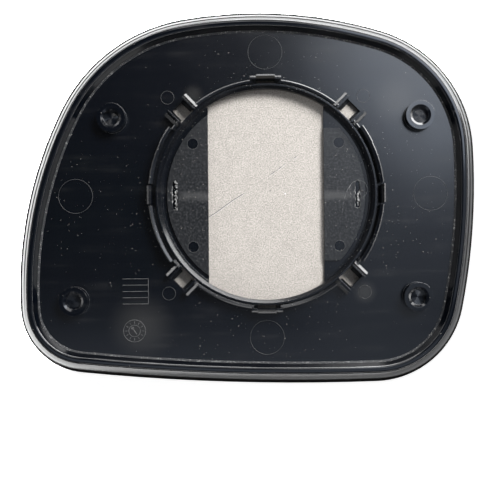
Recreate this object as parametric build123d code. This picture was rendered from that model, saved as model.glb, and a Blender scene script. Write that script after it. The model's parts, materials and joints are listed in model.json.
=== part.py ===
"""Snap-in door mirror glass, lying on its glass with the back up.

The origin is on the axis of the clip ring, at the level of the plate's floor. Z points out of the back,
X to the right and Y up as the back is seen. Sizes are in millimetres and degrees.
"""
import os
from math import asin, cos, degrees, radians, sin, sqrt

from build123d import *

# Front outline: four bowed sides, each an arc whose middle lies at a reach from the ring axis, in a
# direction that leans from its axis, and four corner arcs tangent to their neighbours
right_reach = 80.9
right_lean = -1.75
right_bow = 250.0
top_reach = 70.9
top_lean = -2.3
top_bow = 168.5
left_reach = 85.8
left_lean = -31.2
left_bow = 155.0
bottom_reach = 72.7
bottom_lean = -1.3
bottom_bow = 850.0
top_right_corner = 50.3
top_left_corner = 64.4
bottom_left_corner = 26.5
bottom_right_corner = 35.1

# Layers, from the floor down to the glass
floor_thickness = 1.5
pad_thickness = 0.3
glass_thickness = 3.0
lip_proud = 0.5

# Rim section, measured inwards from the front outline and up from the floor
rim_height = 3.2
flank_run = 5.1
flank_bulge = 0.9
crest_width = 1.9
inner_wall_run = 1.5
foot_bevel = 0.5
lip_wall = 2.3
outer_crest_round = 1.6
inner_crest_round = 1.1
front_bevel = 0.4

# Glass and adhesive
glass_clearance = 0.3
glass_edge = 0.4
pad_margin = 4.0
pad_setback = 0.6

# Clip ring: a collar with a lead-in, and a plain wall round it beyond a narrow groove. The walls outside
# the collar fall away on both sides of a ridge, steeper outside than inside
bore_radius = 40.1
bore_length = 2.0
lead_in_width = 1.1
lead_in_rise = 1.2
collar_wall = 1.75
groove_width = 0.45
groove_floor = 1.4
plain_wall = 1.25
plain_height = 3.6
wall_crest = 0.4
wall_crest_drop = 0.2
wall_slope = 0.35

# Well a step inside the ring, round the two shelves, and the window between them, which runs on under
# the collar
well_step = 0.6
well_depth = 0.8
shelf_radius = 37.9
right_shelf_half = 25.3
window_half = 22.1
window_undercut = 0.6

# Guard arcs at the left and right of the ring, with raised ends and a gap round the hook
guard_gap = 1.35
guard_wall = 1.4
guard_height = 4.2
guard_half_angle = 35.0
guard_end_angle = 9.5
guard_end_rise = 0.8
guard_break = 8.4

# Snap hooks on the axes, each with a nose that points inwards, and the bays of the top and bottom hooks,
# with a slot in the floor under the nose
hook_width = 7.0
hook_height = 5.2
hook_proud = 0.3
hook_crest = 0.7
hook_crest_drop = 0.35
nose_reach = 0.6
nose_drop = 1.8
nose_thickness = 0.5
bay_width = 11.8
slot_width = 10.0

# Latch windows on the diagonals: a wide mouth at the collar, then a sunk ledge on each side, between two
# lugs of a ridge, a groove and a sloped flank
latch_width = 4.6
latch_length = 6.05
latch_mouth = 1.3
ledge_width = 1.1
ledge_depth = 0.8
lug_height = 4.1
lug_ridge = 0.65
lug_groove = 0.65
lug_groove_depth = 1.4
lug_flank = 1.1
lug_flank_drop = 0.1
lug_flank_slope = 0.7
lug_overhang = 0.4

# Hollow bosses, with a countersunk blind hole
boss_radius = 5.5
boss_height = 3.8
boss_bore_radius = 3.0
boss_bore_depth = 2.2
boss_sink_width = 0.9
boss_sink_depth = 0.4
upper_boss_x = 58.4
upper_boss_y = 29.4
lower_left_boss_x = -73.2
lower_left_boss_y = -40.0
lower_right_boss_x = 57.2
lower_right_boss_y = -39.3

# Gate pits in the shelves
gate_x = 34.9
gate_width = 2.0
gate_length = 11.0
gate_depth = 0.6

# Levels and radii that follow from the sizes above
floor_bottom = -floor_thickness
glass_back = floor_bottom - pad_thickness
glass_front = glass_back - glass_thickness
front = glass_front - lip_proud
rim_width = flank_run + crest_width + inner_wall_run + foot_bevel + lip_wall
well_radius = bore_radius - well_step
window_radius = bore_radius + window_undercut
collar_top = bore_length + lead_in_rise
collar_radius = bore_radius + collar_wall
plain_inner = collar_radius + groove_width
plain_radius = plain_inner + plain_wall
guard_inner = collar_radius + guard_gap
guard_radius = guard_inner + guard_wall
stem_inner = guard_inner + nose_reach
hook_outer = guard_radius + hook_proud
hook_half = hook_width / 2
latch_half = latch_width / 2
ledge_half = latch_half + ledge_width
latch_end = collar_radius + latch_length
slot_half_angle = degrees(asin(slot_width / 2 / plain_inner))
LEVEL_AXES = (0, 180)
UPRIGHT_AXES = (90, 270)
DIAGONALS = (45, 135, 225, 315)


def polar(radius, angle):
    """Point at a radius and an angle in degrees."""
    return Vector(radius * cos(radians(angle)), radius * sin(radians(angle)))


def corner_centre(first, second, radius):
    """Centre of the corner arc that touches two bowed sides from inside."""
    (first_centre, first_bow), (second_centre, second_bow) = first, second
    between = second_centre - first_centre
    span = between.length
    along = (span**2 + (first_bow - radius) ** 2 - (second_bow - radius) ** 2) / (2 * span)
    across = sqrt((first_bow - radius) ** 2 - along**2)
    direction = between.normalized()
    return first_centre + direction * along + direction.rotate(Axis.Z, 90) * across


def arc_about(centre, radius, start, end):
    """Arc about a centre, from the direction of one point to that of another."""
    first = (start - centre).normalized()
    last = (end - centre).normalized()
    middle = (first + last).normalized()
    return ThreePointArc(centre + first * radius, centre + middle * radius, centre + last * radius)


def outline(inset=0.0):
    """Front outline moved inwards, as a closed wire of tangent arcs."""
    sides = [
        (polar(right_reach - right_bow, right_lean), right_bow),
        (polar(top_reach - top_bow, 90 + top_lean), top_bow),
        (polar(left_reach - left_bow, 180 + left_lean), left_bow),
        (polar(bottom_reach - bottom_bow, 270 + bottom_lean), bottom_bow),
    ]
    radii = [top_right_corner, top_left_corner, bottom_left_corner, bottom_right_corner]
    corners = [corner_centre(sides[i], sides[(i + 1) % 4], radii[i]) for i in range(4)]
    arcs = []
    for i, (side_centre, bow) in enumerate(sides):
        arcs.append(arc_about(side_centre, bow - inset, corners[i - 1], corners[i]))
        next_centre = sides[(i + 1) % 4][0]
        start = corners[i] * 2 - side_centre
        end = corners[i] * 2 - next_centre
        arcs.append(arc_about(corners[i], radii[i] - inset, start, end))
    return Wire(arcs)


def plate(inset, bottom, top):
    """Flat layer with the outline moved inwards, between two levels."""
    return Pos(0, 0, bottom) * extrude(make_face(outline(inset)), top - bottom)


def profile(*points):
    """Face inside a closed run of straight lines."""
    return make_face(Polyline(*points, close=True))


def turned(section, start=0, end=360):
    """Profile of radius and level, turned about the Z axis from one angle to another."""
    return Rot(0, 0, start) * revolve(Plane.XZ * section, Axis.Z, revolution_arc=end - start)


def arc_wall(inner, outer, top, start, end):
    """Wall that follows the ring from one angle to another, with its ridge near the outer side."""
    section = profile(
        (inner, 0),
        (outer, 0),
        (outer, top - wall_crest_drop),
        (outer - wall_crest, top),
        (inner, top - wall_slope),
    )
    return turned(section, start, end)


def block(inner, outer, low, high, bottom, top):
    """Box from one radius to another along X, one offset to another along Y and between two levels."""
    size = (outer - inner, high - low, top - bottom)
    return Pos(inner, low, bottom) * Box(*size, align=(Align.MIN, Align.MIN, Align.MIN))


def disc(radius, bottom, top):
    """Upright cylinder on the axis between two levels."""
    return Pos(0, 0, bottom) * Cylinder(radius, top - bottom, align=(Align.CENTER, Align.CENTER, Align.MIN))


def opening(half, inner, outer, bottom, top):
    """Opening on the X axis that starts at a circle round the ring axis and ends straight."""
    return block(0, outer, -half, half, bottom, top) - disc(inner, bottom, top)


# Rim: one section, swept along the front outline
path = outline()
inward = (path % 0).rotate(Axis.Z, 90)
section_plane = Plane(origin=path @ 0, x_dir=inward, z_dir=path % 0)
crest_end = flank_run + crest_width
wall_foot = crest_end + inner_wall_run
flank_middle = Vector(flank_run, rim_height - front).rotate(Axis.Z, 90).normalized() * flank_bulge
flank = ThreePointArc(
    (0, front),
    Vector(flank_run / 2, (front + rim_height) / 2) + flank_middle,
    (flank_run, rim_height),
)
rest = Polyline(
    (flank_run, rim_height),
    (crest_end, rim_height),
    (wall_foot, 0),
    (rim_width, 0),
    (rim_width, floor_bottom),
    (lip_wall, floor_bottom),
    (lip_wall, front),
    (0, front),
)
rim_section = make_face([flank, *rest.edges()])


def section_corner(x, y):
    """Corner of the rim section nearest to a point."""
    return rim_section.vertices().sort_by_distance((x, y))[0]


rim_section = chamfer(section_corner(wall_foot, 0), foot_bevel)
rim_section = chamfer(section_corner(0, front), front_bevel)
rim_section = fillet(section_corner(flank_run, rim_height), outer_crest_round)
rim_section = fillet(section_corner(crest_end, rim_height), inner_crest_round)
rim = sweep(section_plane * rim_section, path=path)
backing_plate = rim + plate(rim_width, floor_bottom, 0)

# Clip ring: the collar with its lead-in, and the plain wall in the four stretches between hooks and guards
collar = profile(
    (bore_radius, 0),
    (bore_radius, bore_length),
    (bore_radius + lead_in_width, collar_top),
    (collar_radius, collar_top),
    (collar_radius, 0),
)
web = profile(
    (collar_radius, 0),
    (plain_inner, 0),
    (plain_inner, groove_floor),
    (collar_radius, groove_floor),
)
ring = turned(collar)
for first in (guard_half_angle, 90 + slot_half_angle, 180 + guard_half_angle, 270 + slot_half_angle):
    last = first + 90 - guard_half_angle - slot_half_angle
    ring += arc_wall(plain_inner, plain_radius, plain_height, first, last)
    ring += turned(web, first, last)

# Guard arcs with their raised ends and the gap in their middle
guard_cut = block(collar_radius, hook_outer, -guard_break / 2, guard_break / 2, 0, hook_height)
for middle in LEVEL_AXES:
    low_end = middle - guard_half_angle
    high_end = middle + guard_half_angle
    end_top = guard_height + guard_end_rise
    guard = arc_wall(guard_inner, guard_radius, guard_height, low_end, high_end)
    guard += arc_wall(guard_inner, guard_radius, end_top, low_end, low_end + guard_end_angle)
    guard += arc_wall(guard_inner, guard_radius, end_top, high_end - guard_end_angle, high_end)
    ring += guard - Rot(0, 0, middle) * guard_cut

# Hooks on the axes, with a tab on each side of the top and bottom ones
nose_level = hook_height - nose_drop
hook_section = profile(
    (stem_inner, 0),
    (hook_outer, 0),
    (hook_outer, hook_height - hook_crest_drop),
    (hook_outer - hook_crest, hook_height),
    (guard_inner, nose_level),
    (guard_inner, nose_level - nose_thickness),
    (stem_inner, nose_level - nose_thickness - nose_reach),
)
hook = extrude(Plane.XZ * hook_section, hook_half, both=True)
tab_section = profile(
    (guard_inner, 0),
    (guard_radius, 0),
    (guard_radius, guard_height - hook_crest_drop),
    (guard_radius - hook_crest, guard_height),
    (guard_inner, guard_height),
)
tabs = extrude(Plane.XZ * tab_section, bay_width / 2, both=True)
tabs -= extrude(Plane.XZ * tab_section, hook_half, both=True)
for middle in UPRIGHT_AXES:
    ring += Rot(0, 0, middle) * tabs
for middle in LEVEL_AXES + UPRIGHT_AXES:
    ring += Rot(0, 0, middle) * hook

# Lugs beside the latch windows
lug_end = latch_end + lug_overhang
ridge_end = ledge_half + lug_ridge
groove_end = ridge_end + lug_groove
lug_side = groove_end + lug_flank
flank_top = lug_height - lug_flank_drop
lug_section = profile(
    (ledge_half, 0),
    (ledge_half, lug_height),
    (ridge_end, lug_height),
    (ridge_end, lug_height - lug_groove_depth),
    (groove_end, lug_height - lug_groove_depth),
    (groove_end, flank_top),
    (lug_side, flank_top - lug_flank_slope),
    (lug_side, 0),
)
lug = Pos(collar_radius, 0, 0) * extrude(Plane.YZ * lug_section, lug_end - collar_radius)
for middle in DIAGONALS:
    ring += Rot(0, 0, middle) * lug
    ring += Rot(0, 0, middle) * mirror(lug, Plane.XZ)

# Latch windows between the lugs
latch = opening(latch_half, collar_radius, latch_end, floor_bottom, 0)
latch += opening(ledge_half, collar_radius, latch_end, -ledge_depth, lug_height)
latch += opening(ledge_half, collar_radius, collar_radius + latch_mouth, floor_bottom, 0)
backing_plate = backing_plate + ring - [Rot(0, 0, angle) * latch for angle in DIAGONALS]

# Slots in the floor under the noses of the top and bottom hooks
hook_slot = opening(hook_half, collar_radius, stem_inner, floor_bottom, 0)
backing_plate -= [Rot(0, 0, angle) * hook_slot for angle in UPRIGHT_AXES]

# Well inside the ring, round the two raised shelves
well = disc(well_radius, -well_depth, 0)
shelf = disc(shelf_radius, -well_depth, 0)
left_shelf = shelf & block(-well_radius, 0, -well_radius, well_radius, -well_depth, 0)
right_shelf = shelf & block(0, well_radius, -right_shelf_half, right_shelf_half, -well_depth, 0)
backing_plate -= well - left_shelf - right_shelf

# Window between the shelves
window_bar = block(-window_half, window_half, -window_radius, window_radius, floor_bottom, 0)
backing_plate -= disc(window_radius, floor_bottom, 0) & window_bar

# Hollow bosses
boss_section = profile(
    (0, boss_height - boss_bore_depth),
    (boss_bore_radius, boss_height - boss_bore_depth),
    (boss_bore_radius, boss_height - boss_sink_depth),
    (boss_bore_radius + boss_sink_width, boss_height),
    (boss_radius, boss_height),
    (boss_radius, floor_bottom),
    (0, floor_bottom),
)
boss = turned(boss_section)
boss_places = [
    (-upper_boss_x, upper_boss_y),
    (upper_boss_x, upper_boss_y),
    (lower_left_boss_x, lower_left_boss_y),
    (lower_right_boss_x, lower_right_boss_y),
]
for x, y in boss_places:
    backing_plate -= Pos(x, y) * disc(boss_radius, floor_bottom, 0)
    backing_plate += Pos(x, y) * boss

# Gate pits
pit = extrude(SlotOverall(gate_length, gate_width, rotation=90), gate_depth)
backing_plate -= [Pos(x, 0, -gate_depth) * pit for x in (-gate_x, gate_x)]

# Glass, with its front edge ground, and the adhesive pad behind it
glass_inset = lip_wall + glass_clearance
mirror_glass = plate(glass_inset, glass_front, glass_back)
mirror_glass = chamfer(mirror_glass.edges().group_by(Axis.Z)[0], glass_edge)

adhesive_pad = plate(lip_wall + pad_margin, glass_back, floor_bottom)
pad_half = window_half + pad_setback
pad_bar = block(-pad_half, pad_half, -collar_radius, collar_radius, glass_back, floor_bottom)
adhesive_pad -= disc(collar_radius, glass_back, floor_bottom) & pad_bar
pad_latch = opening(
    ledge_half + pad_setback,
    collar_radius - pad_setback,
    latch_end + pad_setback,
    glass_back,
    floor_bottom,
)
adhesive_pad -= [Rot(0, 0, angle) * pad_latch for angle in DIAGONALS]
pad_slot = opening(
    hook_half + pad_setback,
    collar_radius - pad_setback,
    stem_inner + pad_setback,
    glass_back,
    floor_bottom,
)
adhesive_pad -= [Rot(0, 0, angle) * pad_slot for angle in UPRIGHT_AXES]

os.makedirs("parts", exist_ok=True)
for name, solid in [
    ("backing_plate", backing_plate),
    ("mirror_glass", mirror_glass),
    ("adhesive_pad", adhesive_pad),
]:
    export_step(solid, f"parts/{name}.step")
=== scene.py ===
# %% [markdown]
# # A door mirror glass, seen from behind
#
# The object is the glass of a car's door mirror, lying on its face. A black moulded plate with a raised rim
# carries it, and the round clip ring on the plate snaps onto the mirror's actuator. The solids come from the
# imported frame, in metres, with the origin on the ring's axis at the level of the plate's floor. This lesson
# gives them their finishes, adds the small moulded marks and sets up the picture.

# %% Load the frame
import json
import math

import bpy
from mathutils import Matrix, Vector


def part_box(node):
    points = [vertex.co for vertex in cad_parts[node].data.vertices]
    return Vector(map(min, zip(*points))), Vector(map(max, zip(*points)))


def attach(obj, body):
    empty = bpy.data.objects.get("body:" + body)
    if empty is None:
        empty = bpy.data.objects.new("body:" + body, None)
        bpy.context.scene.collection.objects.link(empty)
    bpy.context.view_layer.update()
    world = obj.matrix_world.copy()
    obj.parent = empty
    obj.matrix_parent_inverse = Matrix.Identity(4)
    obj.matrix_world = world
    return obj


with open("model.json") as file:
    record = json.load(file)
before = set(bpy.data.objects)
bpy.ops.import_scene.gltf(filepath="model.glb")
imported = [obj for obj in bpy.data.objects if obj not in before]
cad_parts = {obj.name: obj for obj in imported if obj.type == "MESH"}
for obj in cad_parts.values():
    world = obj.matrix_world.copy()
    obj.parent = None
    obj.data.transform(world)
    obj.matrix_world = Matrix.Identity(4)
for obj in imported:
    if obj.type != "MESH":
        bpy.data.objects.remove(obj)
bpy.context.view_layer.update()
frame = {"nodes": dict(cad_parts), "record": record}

MM = 0.001
plate = frame["nodes"]["backing_plate"]
glass = frame["nodes"]["mirror_glass"]
pad = frame["nodes"]["adhesive_pad"]

# %% [markdown]
# ## Writing node trees as Python
#
# A shader is a graph, and a graph of sums is tiring to wire by hand. A small class wraps one output socket
# and overloads Python's operators, so that `1 - mask` adds a Math node. A second class wraps a tree and has
# one method that adds any node: settings first, because they decide which sockets there are, then inputs.

# %% Signals
class Signal:
    """One output of a node. Operators on it add Math nodes to the same tree."""

    def __init__(self, tree, socket):
        self.tree = tree
        self.socket = socket

    def output(self, name):
        """Another output of the same node."""
        return Signal(self.tree, self.socket.node.outputs[name])

    def maths(self, operation, first, second=0.0):
        """A Math node on one or two values."""
        return self.tree.node("ShaderNodeMath", {"operation": operation}, {0: first, 1: second})

    def __add__(self, other):
        return self.maths("ADD", self, other)

    def __radd__(self, other):
        return self.maths("ADD", other, self)

    def __sub__(self, other):
        return self.maths("SUBTRACT", self, other)

    def __rsub__(self, other):
        return self.maths("SUBTRACT", other, self)

    def __mul__(self, other):
        return self.maths("MULTIPLY", self, other)

    def __rmul__(self, other):
        return self.maths("MULTIPLY", other, self)

    def __lt__(self, other):
        return self.maths("LESS_THAN", self, other)

    def __gt__(self, other):
        return self.maths("GREATER_THAN", self, other)

    def __abs__(self):
        return self.maths("ABSOLUTE", self)

    def root(self):
        return self.maths("SQRT", self)

    def sine(self):
        return self.maths("SINE", self)

    def near(self, value, reach):
        """1 within a reach of a value and 0 elsewhere."""
        return abs(self - value) < reach

    def rise(self, low, high):
        """0 at low, 1 at high, smooth between them."""
        limits = {"Value": self, "From Min": low, "From Max": high}
        return self.tree.node("ShaderNodeMapRange", {"interpolation_type": "SMOOTHSTEP"}, limits)


print("signals ready")

# %% Trees
class Tree:
    """A node tree with one method that adds any node."""

    def __init__(self, tree):
        self.tree = tree

    def node(self, kind, settings=None, inputs=None, output=0):
        """Adds a node and gives one of its outputs, or the node where it has none."""
        node = self.tree.nodes.new(kind)
        for name, value in (settings or {}).items():
            if name == "stops":
                self.set_stops(node.color_ramp, value)
            else:
                setattr(node, name, value)
        for key, value in (inputs or {}).items():
            sources = value if isinstance(value, list) else [value]
            for source in sources:
                if isinstance(source, Signal):
                    self.tree.links.new(source.socket, node.inputs[key])
                else:
                    node.inputs[key].default_value = source
        return Signal(self, node.outputs[output]) if node.outputs else node

    @staticmethod
    def set_stops(ramp, stops):
        """Sets the places and colours of a colour ramp."""
        while len(ramp.elements) < len(stops):
            ramp.elements.new(1.0)
        for element, (place, colour) in zip(ramp.elements, stops):
            element.position = place
            element.color = colour

    def blend(self, factor, first, second):
        """Mixes two colours."""
        return self.node("ShaderNodeMix", {"data_type": "RGBA"}, {0: factor, 6: first, 7: second}, output=2)

    def vector(self, x, y, z):
        return self.node("ShaderNodeCombineXYZ", None, {0: x, 1: y, 2: z})


print("trees ready")

# %% [markdown]
# ## Places on the part
#
# Every finish reads Object coordinates. All pieces sit at the origin, so these are places in the frame, and a
# ring, a strip or a scratch can be drawn where it lies on the real plate. Millimetres are easier to read than
# metres, so the helper scales them once. Sizes come from the record's ring mount and from the nodes' boxes.

# %% Sizes read from the frame
BORE_RADIUS = frame["record"]["mounts"][0]["dims"]["r_mm"]
RING_REACH = BORE_RADIUS + 10
glass_low, glass_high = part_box("mirror_glass")
GLASS_FRONT = glass_low.z / MM
GLASS_BACK = glass_high.z / MM
print("ring radius", BORE_RADIUS, "glass from", round(GLASS_FRONT, 2), "to", round(GLASS_BACK, 2))

# %% Finishes
class Finish(Tree):
    """A material with its places in millimetres at hand."""

    def __init__(self, name):
        material = bpy.data.materials.new(name)
        material.use_nodes = True
        material.node_tree.nodes.clear()
        super().__init__(material.node_tree)
        self.material = material
        metres = self.node("ShaderNodeTexCoord", output="Object")
        self.place = self.node("ShaderNodeVectorMath", {"operation": "SCALE"}, {0: metres, "Scale": 1 / MM})
        self.x = self.node("ShaderNodeSeparateXYZ", None, {0: self.place})
        self.y = self.x.output("Y")
        self.z = self.x.output("Z")
        self.radius = self.distance(0.0, 0.0)

    def distance(self, x, y):
        """Distance from an upright axis through a place."""
        across = self.x - x
        along = self.y - y
        return (across * across + along * along).root()

    def noise(self, scale, detail, place=None):
        """Noise with about scale bumps in a millimetre."""
        inputs = {"Vector": place or self.place, "Scale": scale, "Detail": detail}
        return self.node("ShaderNodeTexNoise", None, inputs)

    def stretched(self, x, y, z):
        """The place with each axis scaled, for streaks."""
        scales = self.vector(x, y, z)
        return self.node("ShaderNodeVectorMath", {"operation": "MULTIPLY"}, {0: self.place, 1: scales})

    def shader(self, **inputs):
        """A Principled shader."""
        names = {name.replace("_", " "): value for name, value in inputs.items()}
        return self.node("ShaderNodeBsdfPrincipled", None, names)

    def end(self, shader):
        """Ends the material in a shader."""
        self.node("ShaderNodeOutputMaterial", None, {"Surface": shader})
        return self.material

    def surface(self, **inputs):
        """Ends the material in one Principled shader."""
        return self.end(self.shader(**inputs))


def grey(value, warmth=0.0):
    """A grey with a little red added and blue taken away by its warmth."""
    return (value * (1 + warmth), value, value * (1 - warmth), 1.0)


def dress(solid, material):
    """Gives a solid its finish."""
    solid.material_slots[0].material = material
    print(solid.name, "has the finish", material.name, "of", len(material.node_tree.nodes), "nodes")


print("finish helpers ready")

# %% [markdown]
# ## The moulded plate
#
# The plate is black plastic straight from a polished tool. Each of its textures could have a material of its
# own, but the plate is one mesh, so one material does it all. Masks from place, radius and level say where
# each texture lies: the shelves inside the ring, all that lies around the ring, and the foot of the rim.
# Two noises run through all of it, stretched to flow streaks or wide as clouds.

# %% Masks of the plate
SHELF_RADIUS = BORE_RADIUS - 2.2
SHELF_PIN_X = 27.9
SHELF_PIN_Y = 19.7
SHELF_PINS = [(x, y) for x in (-SHELF_PIN_X, SHELF_PIN_X) for y in (-SHELF_PIN_Y, SHELF_PIN_Y)]
SHELF_PIN_RADIUS = 2.0
FOOT_LEVEL = 0.24


class PlateFinish(Finish):
    """The plate's material. Its masks are 1 where a texture lies and 0 elsewhere."""

    def __init__(self):
        super().__init__("moulded_plate")
        pins = sum(self.distance(x, y) < SHELF_PIN_RADIUS for x, y in SHELF_PINS)
        self.shelf = (self.radius < SHELF_RADIUS) * self.z.near(0.0, 0.06) * (1 - pins)
        self.around = self.radius > RING_REACH
        self.foot = self.around * self.z.near(FOOT_LEVEL, 0.22)
        self.streaks = self.noise(1.0, 3.0, self.stretched(0.02, 0.25, 0.05))
        self.cloud = self.noise(0.06, 3.0)


print("shelf radius", round(SHELF_RADIUS, 2), "pins on it", len(SHELF_PINS))

# %% [markdown]
# ### Gloss
#
# The plastic is glossy, a little hazy, and smoothest on the rim. The shelves came from a spark-eroded
# insert, so they are dull, and so are the ledges and the foot of the rim. An image could hold this
# roughness, but sums of masks stay sharp at any distance.

# %% Plate gloss
BOSSES = [(-58.4, 29.4), (58.4, 29.4), (-73.2, -40.0), (57.2, -39.3)]
BOSS_BOTTOM = 1.6
SINK_RADIUS = 4.6
LEDGE_LEVEL = -0.8


def plate_roughness(f):
    ledge = f.z.near(LEDGE_LEVEL, 0.05) * (f.radius > BORE_RADIUS)
    sinks = sum(f.distance(x, y) < SINK_RADIUS for x, y in BOSSES) * (f.z > BOSS_BOTTOM + 0.1)
    rim = f.around * ((f.z > 0.8) + (f.z < LEDGE_LEVEL - 0.1)) * (1 - sinks)
    gloss = 0.13 + f.streaks * 0.06 + f.cloud * 0.08 - rim * 0.11
    return gloss + f.shelf * 0.16 + ledge * 0.6 - sinks * 0.06 + f.foot * 0.45


print("bosses", len(BOSSES), "ledge at", LEDGE_LEVEL, "mm")

# %% [markdown]
# ### Colour
#
# The plate is deep black, paler in a few soft round patches and in smears. The eroded shelves are speckled,
# with a pale flow mark that runs towards the gates, and crumbs of dirt lie along the foot of the rim. All
# this could be painted by hand, but speckle, smears and crumbs have no order, so noise draws them.

# %% Plate colour
GATE_X = 34.9
PALE_PATCHES = [(-27.6, 38.3, 5.0), (-48.0, -50.0, 15.0), (37.4, -37.4, 5.5), (50.0, 36.0, 12.0)]


def glossy_black(f):
    """Black that is paler in a few soft round patches and where it is smeared."""
    # paler towards the middle of a few round patches at listed places
    paleness = sum(1 - f.distance(x, y).rise(0.5, reach) for x, y, reach in PALE_PATCHES)
    smears = f.streaks.rise(0.5, 0.75) * f.cloud.rise(0.4, 0.7)
    return f.blend(paleness * 0.7 + smears * 0.35, (0.0005, 0.0008, 0.0015, 1), grey(0.01))


def eroded_black(f):
    """Speckled black with the flow mark."""
    speckle = f.noise(1.3, 3.0).rise(0.4, 0.75)
    matt = f.blend(speckle, (0.0002, 0.0004, 0.0007, 1), (0.0120, 0.0123, 0.0130, 1))
    flow = 1 - (abs(f.y + 0.4) + (f.noise(0.4, 2.0) - 0.5) * 2.0).rise(0.2, 2.6)
    flow = flow * (1 - abs(f.x).rise(GATE_X - 5.0, GATE_X))
    return f.blend(flow * 0.5, matt, grey(0.025))


def plate_colour(f):
    crumbs = f.foot * f.noise(1.6, 1.0).rise(0.6, 0.68)
    return f.blend(crumbs, f.blend(f.shelf, glossy_black(f), eroded_black(f)), grey(0.06))


print("pale_patches", len(PALE_PATCHES), "gates at", -GATE_X, "and", GATE_X, "mm")

# %% [markdown]
# ### Relief
#
# The shelves are grainy. The core pins of the four bosses were turned on a lathe and left their rings in the
# holes. Both could be mesh, but they are far finer than its facets, so they are bump. A Bevel node rounds the
# shading of every edge, which would take very many faces otherwise.

# %% Plate relief
CORE_PIN_RADIUS = 4.0
TURNED_WAVE = 18.0


def plate_relief(f):
    grain = f.noise(5.0, 1.0)
    bottom = f.z.near(BOSS_BOTTOM, 0.05) * f.around
    reaches = [f.distance(x, y) for x, y in BOSSES]
    turned = sum((reach < CORE_PIN_RADIUS) * (reach * TURNED_WAVE).sine() for reach in reaches)
    height = grain * (f.shelf * 0.9 + 0.015) + bottom * turned
    edge = f.node("ShaderNodeBevel", {"samples": 6}, {"Radius": 0.00018})
    inputs = {"Strength": 0.3, "Distance": 0.00005, "Height": height, "Normal": edge}
    return f.node("ShaderNodeBump", None, inputs)


print("turned rings", round(2 * math.pi / TURNED_WAVE, 2), "mm apart")

# %% [markdown]
# ### Painted dark lines
#
# Two lines round the rim's flank are drawn black without any gloss. The skirt at the bottom is matt, and
# its black also paints the shade of the gap under the rim as a dark line round the part. The finer band
# below the crest is a painted dark reflection, which fades out at the lower edge. A high roughness would
# still mirror the bright floor, so a second shader without any gloss is mixed in there. The lines lie only
# on faces that turn outwards: the product of a face's normal and its place tells them apart.

# %% Plate finish
DARK_BAND_LEVEL = 1.75
FLANK_PRODUCT = 10.0
BOSS_REACH = 8.0


def painted_dark_lines(f):
    facing = f.node("ShaderNodeNewGeometry", output="Normal")
    product = {"operation": "DOT_PRODUCT"}
    outward = f.node("ShaderNodeVectorMath", product, {0: facing, 1: f.place}, output="Value")
    bosses = sum(f.distance(x, y) < BOSS_REACH for x, y in BOSSES)
    flank = f.around * (outward > FLANK_PRODUCT) * (1 - bosses)
    # painted shade: the skirt below the flank is black without gloss, where the gap under the rim lies in
    # shade
    painted_foot_shade = 1 - f.z.rise(-0.25, 0.2)
    # painted dark reflection: a black band below the crest, faded out towards the bottom
    painted_dark_band = (1 - abs(f.z - DARK_BAND_LEVEL).rise(0.15, 0.45)) * f.y.rise(-55.0, -20.0)
    return flank * (painted_foot_shade + painted_dark_band)


def plate_finish():
    f = PlateFinish()
    polished = f.shader(Base_Color=plate_colour(f), Roughness=plate_roughness(f), Normal=plate_relief(f))
    # black without gloss, mixed in on the painted dark lines
    painted_black = f.shader(Base_Color=grey(0.004), Roughness=1.0, Specular_IOR_Level=0.0)
    return f.end(f.node("ShaderNodeMixShader", None, {0: painted_dark_lines(f), 1: polished, 2: painted_black}))


dress(plate, plate_finish())

# %% [markdown]
# ## The glass
#
# The glass is silvered and then painted on its back. Seen through the plate's window the paint is a speckled
# grey beige with one long scratch. Seen from the front it is a mirror, and round its ground edge it is dull
# grey green. The glass could be split into three meshes, but its level along Z already says which of the
# three shows. The scratch is drawn in its own directions, along it and across it: a dark core with a light
# lower lip, a painted highlight on that side, strong at first, then almost gone, then broken.

# %% Scratch
SCRATCH_START = Vector((-22.3, -8.6))
SCRATCH_END = Vector((12.5, 15.1))
SCRATCH_FADES = 18.0
SCRATCH_BREAKS = 28.0


def scratch(f):
    """Masks of the scratch's dark core and of its light lip, a painted highlight on one side."""
    way = SCRATCH_END - SCRATCH_START
    length = way.length
    way.normalize()
    from_x = f.x - SCRATCH_START.x
    from_y = f.y - SCRATCH_START.y
    along = from_x * way.x + from_y * way.y
    wander = (f.noise(0.12, 1.0) - 0.5) * 1.2
    across = from_y * way.x - from_x * way.y + wander
    on = (along > 0.0) * (along < length)
    strong = 1 - along.rise(SCRATCH_FADES - 3, SCRATCH_FADES)
    dashes = f.noise(0.9, 1.0).rise(0.42, 0.55) * along.rise(SCRATCH_BREAKS, SCRATCH_BREAKS + 2)
    weight = on * (strong + dashes + 0.15)
    core = (1 - abs(across).rise(0.06, 0.2)) * weight
    # painted highlight: a light line along the lower side of the scratch
    lip = (1 - abs(across + 0.22).rise(0.03, 0.16)) * weight
    return core, lip


print("scratch", round((SCRATCH_END - SCRATCH_START).length, 1), "mm long")

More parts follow.
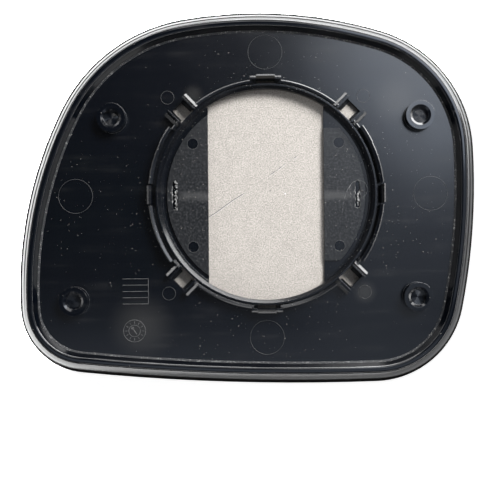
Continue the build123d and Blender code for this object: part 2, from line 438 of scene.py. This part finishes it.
# %% Glass finish
def glass_finish():
    f = Finish("silvered_glass")
    back = f.z > GLASS_BACK - 0.05
    front = f.z < GLASS_FRONT + 0.05
    speckle = f.noise(2.3, 2.0)
    mottle = f.noise(0.25, 2.0)
    stops = [(0.32, (0.086, 0.080, 0.073, 1)), (0.68, (0.200, 0.187, 0.172, 1))]
    paint = f.node("ShaderNodeValToRGB", {"stops": stops}, {0: speckle * 0.9 + mottle * 0.1})
    core, lip = scratch(f)
    speck = f.distance(7.35, 0.45) < 0.25
    nick = (f.distance(1.6, 1.65) < 0.3) * 0.6
    paint = f.blend(core * 0.95 + nick, paint, grey(0.02))
    # the lip's painted highlight and a pale speck
    paint = f.blend(lip * 0.35 + speck, paint, grey(0.3))
    ground_edge = (0.10, 0.13, 0.12, 1)
    silver = (0.86, 0.88, 0.9, 1)
    colour = f.blend(front, f.blend(back, ground_edge, paint), silver)
    roughness = 0.4 + back * 0.2 - front * 0.38
    return f.surface(Base_Color=colour, Roughness=roughness, Metallic=front)


dress(glass, glass_finish())

# %% [markdown]
# ## The adhesive
#
# A foam sheet between plate and glass holds the two together. Its open cells could be modelled, but it hardly
# shows, so one fine noise gives them in colour and bump, on matt dark grey.

# %% Foam finish
def foam_finish():
    f = Finish("adhesive_foam")
    cells = f.noise(3.0, 2.0)
    shade = f.blend(cells, grey(0.004), grey(0.012))
    bump = f.node("ShaderNodeBump", None, {"Strength": 0.5, "Distance": 0.0001, "Height": cells})
    return f.surface(Base_Color=shade, Roughness=0.9, Normal=bump)


dress(pad, foam_finish())

# %% [markdown]
# ## Small moulded marks with Geometry Nodes
#
# A moulding shows how it was made: ejector pins leave fine rings, an insert leaves a date field. Bump could
# draw them, but a raised line catches the light on its own sides, so they are meshes. Such marks repeat one
# small shape, which is what Geometry Nodes are good at. The helper below is a tree with named inputs. It sets
# them on the modifier, evaluates it once and keeps the result as a plain mesh.

# %% Shapes in Geometry Nodes
class Shapes(Tree):
    """A Geometry Nodes tree with the shapes and moves that the marks are made of."""

    def circle(self, radius, resolution):
        inputs = {"Resolution": resolution, "Radius": radius}
        return self.node("GeometryNodeCurvePrimitiveCircle", None, inputs)

    def tube(self, curve, thickness, **inputs):
        """A tube of six sides along a curve."""
        inputs = {name.title(): value for name, value in inputs.items()}
        inputs = {"Curve": curve, "Profile Curve": self.circle(thickness, 6), **inputs}
        return self.node("GeometryNodeCurveToMesh", None, inputs)

    def ring(self, radius, thickness):
        """A thin torus that lies flat."""
        return self.tube(self.circle(radius, 72), thickness)

    def bar(self, length, width, height):
        """A flat bar along X, centred."""
        return self.node("GeometryNodeMeshCube", None, {"Size": self.vector(length, width, height)})

    def lump(self, radius, subdivisions):
        inputs = {"Radius": radius, "Subdivisions": subdivisions}
        return self.node("GeometryNodeMeshIcoSphere", None, inputs)

    def line(self, start, end, count=2):
        """Points spaced evenly from one place to another."""
        inputs = {"Count": count, "Start Location": start, "Offset": end}
        return self.node("GeometryNodeMeshLine", {"mode": "END_POINTS"}, inputs)

    def polygon(self, corners, radius):
        """Points at the corners of a regular polygon."""
        return self.node("GeometryNodeMeshCircle", None, {"Vertices": corners, "Radius": radius})

    def copies(self, points, instance, **inputs):
        """An instance on every point."""
        inputs = {name.title(): value for name, value in inputs.items()}
        inputs = {"Points": points, "Instance": instance, **inputs}
        return self.node("GeometryNodeInstanceOnPoints", None, inputs)

    def join(self, *parts):
        return self.node("GeometryNodeJoinGeometry", None, {"Geometry": list(parts)})

    def at(self, geometry, x=0.0, y=0.0, turn=0.0, scale=1.0):
        """Geometry moved on the plate's floor, turned about Z and scaled."""
        inputs = {"Geometry": geometry, "Translation": (x, y, 0.0), "Rotation": (0, 0, math.radians(turn))}
        return self.node("GeometryNodeTransform", None, {**inputs, "Scale": (scale, scale, scale)})

    def shifted(self, geometry, offset):
        return self.node("GeometryNodeSetPosition", None, {"Geometry": geometry, "Offset": offset})

    def position(self):
        return self.node("GeometryNodeInputPosition")


print("shapes ready")

# %% A maker of pieces
class Maker(Shapes):
    """A Geometry Nodes tree that makes one piece, with sizes in millimetres."""

    def __init__(self, name):
        self.name = name
        group = bpy.data.node_groups.new(name, "GeometryNodeTree")
        super().__init__(group)
        group.interface.new_socket("Geometry", in_out="OUTPUT", socket_type="NodeSocketGeometry")
        self.entry = group.nodes.new("NodeGroupInput")
        self.values = {}

    def number(self, name, value):
        """A named input of the tree."""
        kind = "NodeSocketInt" if isinstance(value, int) else "NodeSocketFloat"
        socket = self.tree.interface.new_socket(name, in_out="INPUT", socket_type=kind)
        self.values[socket.identifier] = value
        return Signal(self, self.entry.outputs[name])

    def make(self, geometry, material):
        """Ends the tree, evaluates it and leaves a plain mesh that rides on the part."""
        metres = self.at(geometry, scale=MM)
        whole = self.node("GeometryNodeRealizeInstances", None, {"Geometry": metres})
        coated = self.node("GeometryNodeSetMaterial", None, {"Geometry": whole, "Material": material})
        self.node("NodeGroupOutput", None, {"Geometry": coated})
        piece = bpy.data.objects.new(self.name, bpy.data.meshes.new(self.name))
        bpy.context.scene.collection.objects.link(piece)
        modifier = piece.modifiers.new(self.name, "NODES")
        modifier.node_group = self.tree
        for identifier, value in self.values.items():
            modifier[identifier] = value
        evaluated = piece.evaluated_get(bpy.context.evaluated_depsgraph_get())
        mesh = bpy.data.meshes.new_from_object(evaluated)
        piece.modifiers.remove(modifier)
        piece.data = mesh
        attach(piece, "root")
        top = max(vertex.co.z for vertex in mesh.vertices) / MM
        print(self.name, "faces", len(mesh.polygons), "top", round(top, 2), "mm")


print("maker of pieces ready")

# %% [markdown]
# ## Ejector rings
#
# Twelve pins push the plate out of its tool. Four large ones stand above, below and beside the ring, four
# small ones outside the latch windows and four on the shelves. Round each pin a hair of plastic creeps into
# the gap and stays as a fine raised ring. A loop could place twelve rings, but all pins of a size leave the
# same one, so each size is one torus, copied to points.

# %% Ejector rings
def painted_highlight_finish(name, level):
    """Black plastic drawn pale grey, a painted highlight for the light that its fine raised edges catch."""
    f = Finish(name)
    # painted highlight: noise spreads the pale grey between a third of the level and all of it
    highlight_mottle = f.noise(0.5, 2.0).rise(0.25, 0.65)
    return f.surface(Base_Color=f.blend(highlight_mottle, grey(level * 0.3), grey(level)), Roughness=0.35)


LARGE_PIN_Y = 54.5
LARGE_PIN_LEFT = -72.8
LARGE_PIN_RIGHT = 62.8


def ejector_rings():
    m = Maker("ejector_rings")
    hair = m.number("Hair", 0.07)
    large = m.ring(m.number("Large radius", 6.5), hair)
    small = m.ring(m.number("Small radius", 2.5), hair)
    shelf = m.ring(m.number("Shelf radius", 2.1), hair)
    upright = m.line((0, -LARGE_PIN_Y, 0), (0, LARGE_PIN_Y, 0))
    level = m.line((LARGE_PIN_LEFT, 0, 0), (LARGE_PIN_RIGHT, 0, 0))
    square = m.polygon(4, m.number("Small reach", 52.9))
    sides = {"Size X": 2 * SHELF_PIN_X, "Size Y": 2 * SHELF_PIN_Y}
    grid = m.node("GeometryNodeMeshGrid", None, {**sides, "Vertices X": 2, "Vertices Y": 2})
    rings = m.join(
        m.copies(upright, large),
        m.copies(level, large),
        m.copies(m.at(square, turn=45.0), small),
        m.copies(grid, shelf),
    )
    # the rings are drawn pale grey, a painted highlight
    m.make(rings, painted_highlight_finish("pale_rings", 0.02))


ejector_rings()

# %% [markdown]
# ## Date field
#
# Low on the left an insert in the tool marked the moulding with a small table and a dial. The table is five
# raised lines with a border on the right. The dial is two rings, a circle of ticks and an arrow. Each stroke
# could be modelled by hand, but the lines repeat and so do the ticks. So each kind is one bar that is copied
# to points, and a tick turns outwards by the place of its point.

# %% Date field
TABLE_X = -50.2
TABLE_ROWS = (-41.3, -31.7)
BORDER_PLACE = {"x": -45.3, "y": -36.4}
DIAL_PLACE = {"x": -50.7, "y": -51.6}
ARROW_TURN = 125.0


def date_field():
    m = Maker("date_field")
    relief = m.number("Relief", 0.08)
    stroke = m.number("Stroke", 0.16)
    low, high = TABLE_ROWS
    rows = m.line((TABLE_X, low, 0), (TABLE_X, high, 0), count=5)
    table = m.copies(rows, m.bar(9.8, stroke, relief))
    border = m.at(m.bar(10.0, stroke, relief), **BORDER_PLACE, turn=90.0)
    outer = m.ring(m.number("Dial radius", 4.2), 0.08)
    hub = m.ring(m.number("Hub radius", 2.2), 0.07)
    hours = m.polygon(12, m.number("Tick reach", 3.2))
    outward = m.node("FunctionNodeAlignEulerToVector", {"axis": "X"}, {"Vector": m.position()})
    ticks = m.copies(hours, m.bar(0.9, stroke, relief), rotation=outward)
    arrow = m.join(m.bar(3.2, 0.3, relief), m.at(m.bar(0.9, 0.9, relief), x=1.3, turn=45.0))
    dial = m.at(m.join(outer, hub, ticks, m.at(arrow, turn=ARROW_TURN)), **DIAL_PLACE)
    # the table and the dial are drawn pale grey, a painted highlight
    m.make(m.join(table, border, dial), painted_highlight_finish("pale_marks", 0.045))


date_field()

# %% [markdown]
# ## Torn gates
#
# Plastic entered the tool through two flat gates on the shelves. Each gate was torn off and left a ragged
# lip round its pit, pale in patches: partly where the plastic was stretched, partly a painted highlight. It
# could be sculpted, but noise does the same by rule: the lip is a tube along the pit's outline whose path and
# thickness wander, and lumps of random size stand for the torn plastic in it. A fine ring lies round the
# right gate, with a thread that runs off it.

# %% Parts of a torn gate
def torn_finish():
    f = Finish("torn_plastic")
    # pale patches: partly stretched plastic turned white, partly a painted highlight
    whitened_and_sheen = f.noise(1.4, 2.0, f.stretched(1.0, 0.4, 1.0)).rise(0.42, 0.62)
    shade = f.blend(whitened_and_sheen, grey(0.005), grey(0.11))
    return f.surface(Base_Color=shade, Roughness=0.35)


def gate_lip(m):
    """A ragged tube round a pit at the origin."""
    sides = {"Width": m.number("Pit width", 1.9), "Height": m.number("Pit length", 10.8)}
    outline = m.node("GeometryNodeCurvePrimitiveQuadrilateral", None, sides)
    rounding = {"Curve": outline, "Count": 6, "Radius": 0.9}
    rounded = m.node("GeometryNodeFilletCurve", {"mode": "POLY"}, rounding)
    fine = m.node("GeometryNodeResampleCurve", None, {"Curve": rounded, "Count": 150})
    place = m.position()
    rough = {"Vector": place, "Scale": 1.3, "Detail": 3.0}
    ragged = m.node("ShaderNodeTexNoise", None, rough, output="Color")
    limits = {0: ragged, 1: (0.9, 0.6, 0.3), 2: (-0.45, -0.3, -0.12)}
    wander = m.node("ShaderNodeVectorMath", {"operation": "MULTIPLY_ADD"}, limits)
    swell = m.node("ShaderNodeTexNoise", None, {"Vector": place, "Scale": 0.8, "Detail": 2.0})
    return m.tube(m.shifted(fine, wander), m.number("Lip", 0.3), scale=swell * swell)


def tears(m, lump, seed, start, end, count):
    """Lumps of torn plastic of random size along a line."""
    kind = {"data_type": "FLOAT_VECTOR"}
    shifts = {0: (-0.35, -0.3, -0.1), 1: (0.35, 0.3, 0.1), "Seed": seed}
    shift = m.node("FunctionNodeRandomValue", kind, shifts)
    sizes = {0: (0.3, 0.4, 0.3), 1: (1.0, 1.5, 0.8), "Seed": seed + 1}
    size = m.node("FunctionNodeRandomValue", kind, sizes)
    return m.copies(m.shifted(m.line(start, end, count), shift), lump, scale=size)


print("lip and tears ready")

# %% Torn gates
SWIRL_PLACE = {"x": 35.3, "y": 1.8}
THREAD_PATH = {"Start": (33.4, 4.6, 0.0), "Middle": (29.6, 1.6, 0.0), "End": (29.0, -8.0, 0.0)}


def torn_gates():
    m = Maker("torn_gates")
    lip = gate_lip(m)
    lips = m.join(m.at(lip, x=-GATE_X, turn=180.0), m.at(lip, x=GATE_X))
    lump = m.lump(m.number("Lump", 0.5), 2)
    seed = m.number("Seed", 3)
    left_x = -GATE_X + 0.5
    crumbs_x = -GATE_X - 1.1
    left = tears(m, lump, seed, (left_x, -5.2, 0.0), (left_x, 5.0, 0.0), 15)
    crumbs = tears(m, lump, seed, (crumbs_x, -2.0, 0.0), (crumbs_x, 2.0, 0.0), 5)
    right = tears(m, lump, seed, (GATE_X + 0.2, -3.6, -0.1), (GATE_X + 0.4, 0.6, -0.1), 9)
    spur = tears(m, lump, seed, (GATE_X + 0.6, 0.4, 0.0), (GATE_X + 1.9, 1.3, 0.0), 4)
    swirl = m.at(m.ring(m.number("Swirl radius", 3.4), 0.05), **SWIRL_PLACE)
    path = m.node("GeometryNodeCurveQuadraticBezier", None, {**THREAD_PATH, "Resolution": 24})
    thread = m.tube(path, 0.05)
    m.make(m.join(lips, left, crumbs, right, spur, swirl, thread), torn_finish())


torn_gates()

# %% [markdown]
# ## Dust
#
# The plate has lain about: specks of dust sit on its floor, more lie on the ring and its shelves, and most
# have gathered in the corner along the foot of the rim. A pattern of dots could draw them, but it would stay
# flat from the side. So points are scattered over the plate's own surface, where it faces up, and each
# carries a tiny lump. The seed is fixed, so that the dust stays where it is.

# %% Dust
DUSTY_LEVELS = (-1.0, 4.9)
DUSTY_RADIUS = 47.5


def dust_finish():
    f = Finish("dust")
    return f.surface(Base_Color=grey(0.2, 0.05), Roughness=0.9)


def dust():
    m = Maker("dust")
    metres = m.node("GeometryNodeObjectInfo", None, {"Object": plate}, output="Geometry")
    surface = m.at(metres, scale=1 / MM)
    upward = m.node("ShaderNodeSeparateXYZ", None, {0: m.node("GeometryNodeInputNormal")}, output="Z")
    x = m.node("ShaderNodeSeparateXYZ", None, {0: m.position()})
    y = x.output("Y")
    level = x.output("Z")
    radius = (x * x + y * y).root()
    seed = m.number("Seed", 7)

    def scatter(where, density, turn):
        """Points on the faces of a selection."""
        inputs = {"Mesh": surface, "Selection": where, "Density": density, "Seed": seed + turn}
        return m.node("GeometryNodeDistributePointsOnFaces", None, inputs)

    lowest, crests = DUSTY_LEVELS
    below_crests = (level > lowest) * (level < crests)
    foot = upward.near(0.85, 0.12) * (level < 0.5) * (level > 0.0)
    ring = (upward > 0.3) * (radius < DUSTY_RADIUS) * below_crests
    floor_specks = scatter((upward > 0.9) * below_crests, m.number("Floor specks", 0.02), 0)
    foot_specks = scatter(foot, m.number("Foot specks", 1.5), 1)
    ring_specks = scatter(ring, m.number("Ring specks", 0.2), 2)
    lump = m.lump(m.number("Speck", 0.1), 1)
    limits = {2: 0.25, 3: 1.0, "Seed": seed}
    chance = m.node("FunctionNodeRandomValue", {"data_type": "FLOAT"}, limits, output=1)
    size = chance * chance
    everywhere = m.join(floor_specks, foot_specks, ring_specks)
    specks = m.copies(everywhere, lump, scale=m.vector(size * 1.4, size, size * 0.6))
    m.make(specks, dust_finish())


dust()

# %% [markdown]
# ## Floor
#
# The part lies on a plain white floor, which glows by itself, so that it stays white in the part's shadow
# too. A white world would be simpler, but the polished rim has to mirror a floor that begins at its foot.

# %% Floor
FLOOR_HALF = 6.0
FLOOR_GAP = 0.00002


def floor():
    f = Finish("pale_floor")
    glow = {"Emission_Color": grey(1.0), "Emission_Strength": 0.85}
    white = f.surface(Base_Color=grey(0.85), Roughness=0.8, **glow)
    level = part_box("backing_plate")[0].z - FLOOR_GAP
    corners = [(x * FLOOR_HALF, y * FLOOR_HALF, level) for x, y in ((-1, -1), (1, -1), (1, 1), (-1, 1))]
    mesh = bpy.data.meshes.new("floor")
    mesh.from_pydata(corners, [], [(0, 1, 2, 3)])
    mesh.materials.append(white)
    piece = bpy.data.objects.new("floor", mesh)
    bpy.context.scene.collection.objects.link(piece)
    print("floor at", round(level / MM, 2), "mm")
    return piece


ground = floor()

# %% [markdown]
# ## Light
#
# A key to the upper right and three weak fills light the part. The floor has a low light of its own from the
# upper left, so the polished flank of the rim mirrors a bright floor above and on the left and a dim one
# below. One lamp could light both, but light linking, which says what a light reaches, keeps them apart. Each
# light is given by its radiance, so that its mirror image in the plastic can be judged before rendering.

# %% Soft boxes
WHITE = (1.0, 1.0, 1.0)


def soft_box(name, place, size, radiance, mirrored=True, lights=True, tint=WHITE, floor_link=None):
    """A rectangular light that faces the part. It may be left out of mirror images or of the lighting.

    Its floor link is INCLUDE where it lights the floor alone, and EXCLUDE where it lights all but the floor.
    """
    lamp = bpy.data.lights.new(name, "AREA")
    lamp.shape = "RECTANGLE"
    lamp.size, lamp.size_y = size
    lamp.energy = radiance * math.pi * lamp.size * lamp.size_y
    lamp.color = tint
    box = bpy.data.objects.new(name, lamp)
    box.location = place
    box.rotation_euler = (-Vector(place)).to_track_quat("-Z", "Y").to_euler()
    box.visible_camera = False
    box.visible_glossy = mirrored
    box.visible_diffuse = lights
    bpy.context.scene.collection.objects.link(box)
    if floor_link:
        reached = bpy.data.collections.new(name + "_reach")
        reached.objects.link(ground)
        reached.collection_objects[0].light_linking.link_state = floor_link
        box.light_linking.receiver_collection = reached


soft_box("fill", (0.0, 0.0, 1.4), (2.0, 2.0), 0.3, mirrored=False)
soft_box("key", (0.56, 0.58, 0.77), (0.7, 0.45), 76.0, mirrored=False, floor_link="EXCLUDE")
soft_box("left_fill", (-1.0, 0.0, 0.5), (1.2, 0.5), 6.0, mirrored=False, floor_link="EXCLUDE")
soft_box("near_fill", (0.0, -1.0, 0.5), (1.2, 0.5), 4.5, mirrored=False, floor_link="EXCLUDE")
soft_box("floor_light", (-0.82, 0.8, 0.16), (0.8, 0.12), 1700.0, mirrored=False, floor_link="INCLUDE")
print("lights of the part and the floor:", len(bpy.data.lights))

# %% [markdown]
# ## Mirror images
#
# Glossy black shows hardly any light, only what it mirrors, so another set of soft boxes is there for the
# mirror images alone: a window to the upper right in three heights and a dimmer ring of panels round the
# rest, low enough for the slanted crests of hooks and walls to catch. Straight above it stays dark but for
# three cool patches, because the flat floor of the plate mirrors the ceiling. One bright world could replace
# them all, but then black plastic looks grey, so the world stays nearly black.

# %% Panels
COOL = (0.76, 0.85, 1.0)
PANEL_DISTANCE = 0.9


def panel(name, azimuth, low, high, width, radiance):
    """A light that only mirror images see, in a direction and between two elevations in degrees."""
    middle = math.radians((low + high) / 2)
    turn = math.radians(azimuth)
    flat = PANEL_DISTANCE * math.cos(middle)
    place = (flat * math.cos(turn), flat * math.sin(turn), PANEL_DISTANCE * math.sin(middle))
    height = 2 * PANEL_DISTANCE * math.tan(math.radians((high - low) / 2))
    soft_box(name, place, (width, height), radiance, lights=False)


panel("window", azimuth=52, low=18, high=37, width=0.85, radiance=20.0)
panel("low_window", azimuth=60, low=0.5, high=9, width=1.3, radiance=21.0)
panel("high_window", azimuth=65, low=54, high=66, width=0.8, radiance=4.0)
panel("north", azimuth=98, low=8, high=24.5, width=0.6, radiance=9.0)
panel("east", azimuth=0, low=24, high=29, width=0.7, radiance=10.0)
panel("north_west", azimuth=135, low=19, high=26, width=0.6, radiance=9.0)
panel("west", azimuth=180, low=24, high=29, width=0.7, radiance=4.0)
panel("south_west", azimuth=225, low=19, high=26, width=0.6, radiance=3.0)
panel("south", azimuth=270, low=29, high=35, width=0.7, radiance=6.0)
panel("south_east", azimuth=315, low=20, high=27, width=0.6, radiance=9.0)
soft_box("upper_patch", (0.38, 0.38, 1.2), (0.4, 0.4), 4.0, lights=False, tint=COOL)
soft_box("right_patch", (0.45, 0.14, 1.2), (0.5, 0.8), 0.65, lights=False, tint=COOL)
soft_box("lower_patch", (0.0, -0.4, 1.2), (1.2, 0.4), 0.8, lights=False, tint=COOL)
print("lights with those of the mirror images:", len(bpy.data.lights))

# %% World
world = bpy.data.worlds.new("studio")
world.use_nodes = True
background = world.node_tree.nodes["Background"]
background.inputs["Color"].default_value = (1, 1, 1, 1)
background.inputs["Strength"].default_value = 0.05
bpy.context.scene.world = world
bpy.context.scene.view_settings.view_transform = "Standard"
print("world", world.name, "view", bpy.context.scene.view_settings.view_transform)

# %% [markdown]
# ## Camera
#
# The camera looks straight down. A view without perspective would be simpler, but in the photograph the ring
# and the rim lean outwards, and the camera's height was fitted to that. The focal length follows from this
# height and from the width that the picture shows at the level of the plate's floor.

# %% Camera
CAMERA_HEIGHT = 280.0
CAMERA_FOOT = (-6.35, -21.07)
VIEW_WIDTH = 191.0
ROLL = -0.49
lens = bpy.data.cameras.new("camera")
lens.sensor_width = 36.0
lens.lens = lens.sensor_width * CAMERA_HEIGHT / VIEW_WIDTH
lens.clip_start = 0.01
camera = bpy.data.objects.new("camera", lens)
camera.location = (CAMERA_FOOT[0] * MM, CAMERA_FOOT[1] * MM, CAMERA_HEIGHT * MM)
camera.rotation_euler = (0.0, 0.0, math.radians(ROLL))
bpy.context.scene.collection.objects.link(camera)
bpy.context.scene.camera = camera
print("camera", [round(v, 4) for v in camera.location], "lens", round(lens.lens, 2))
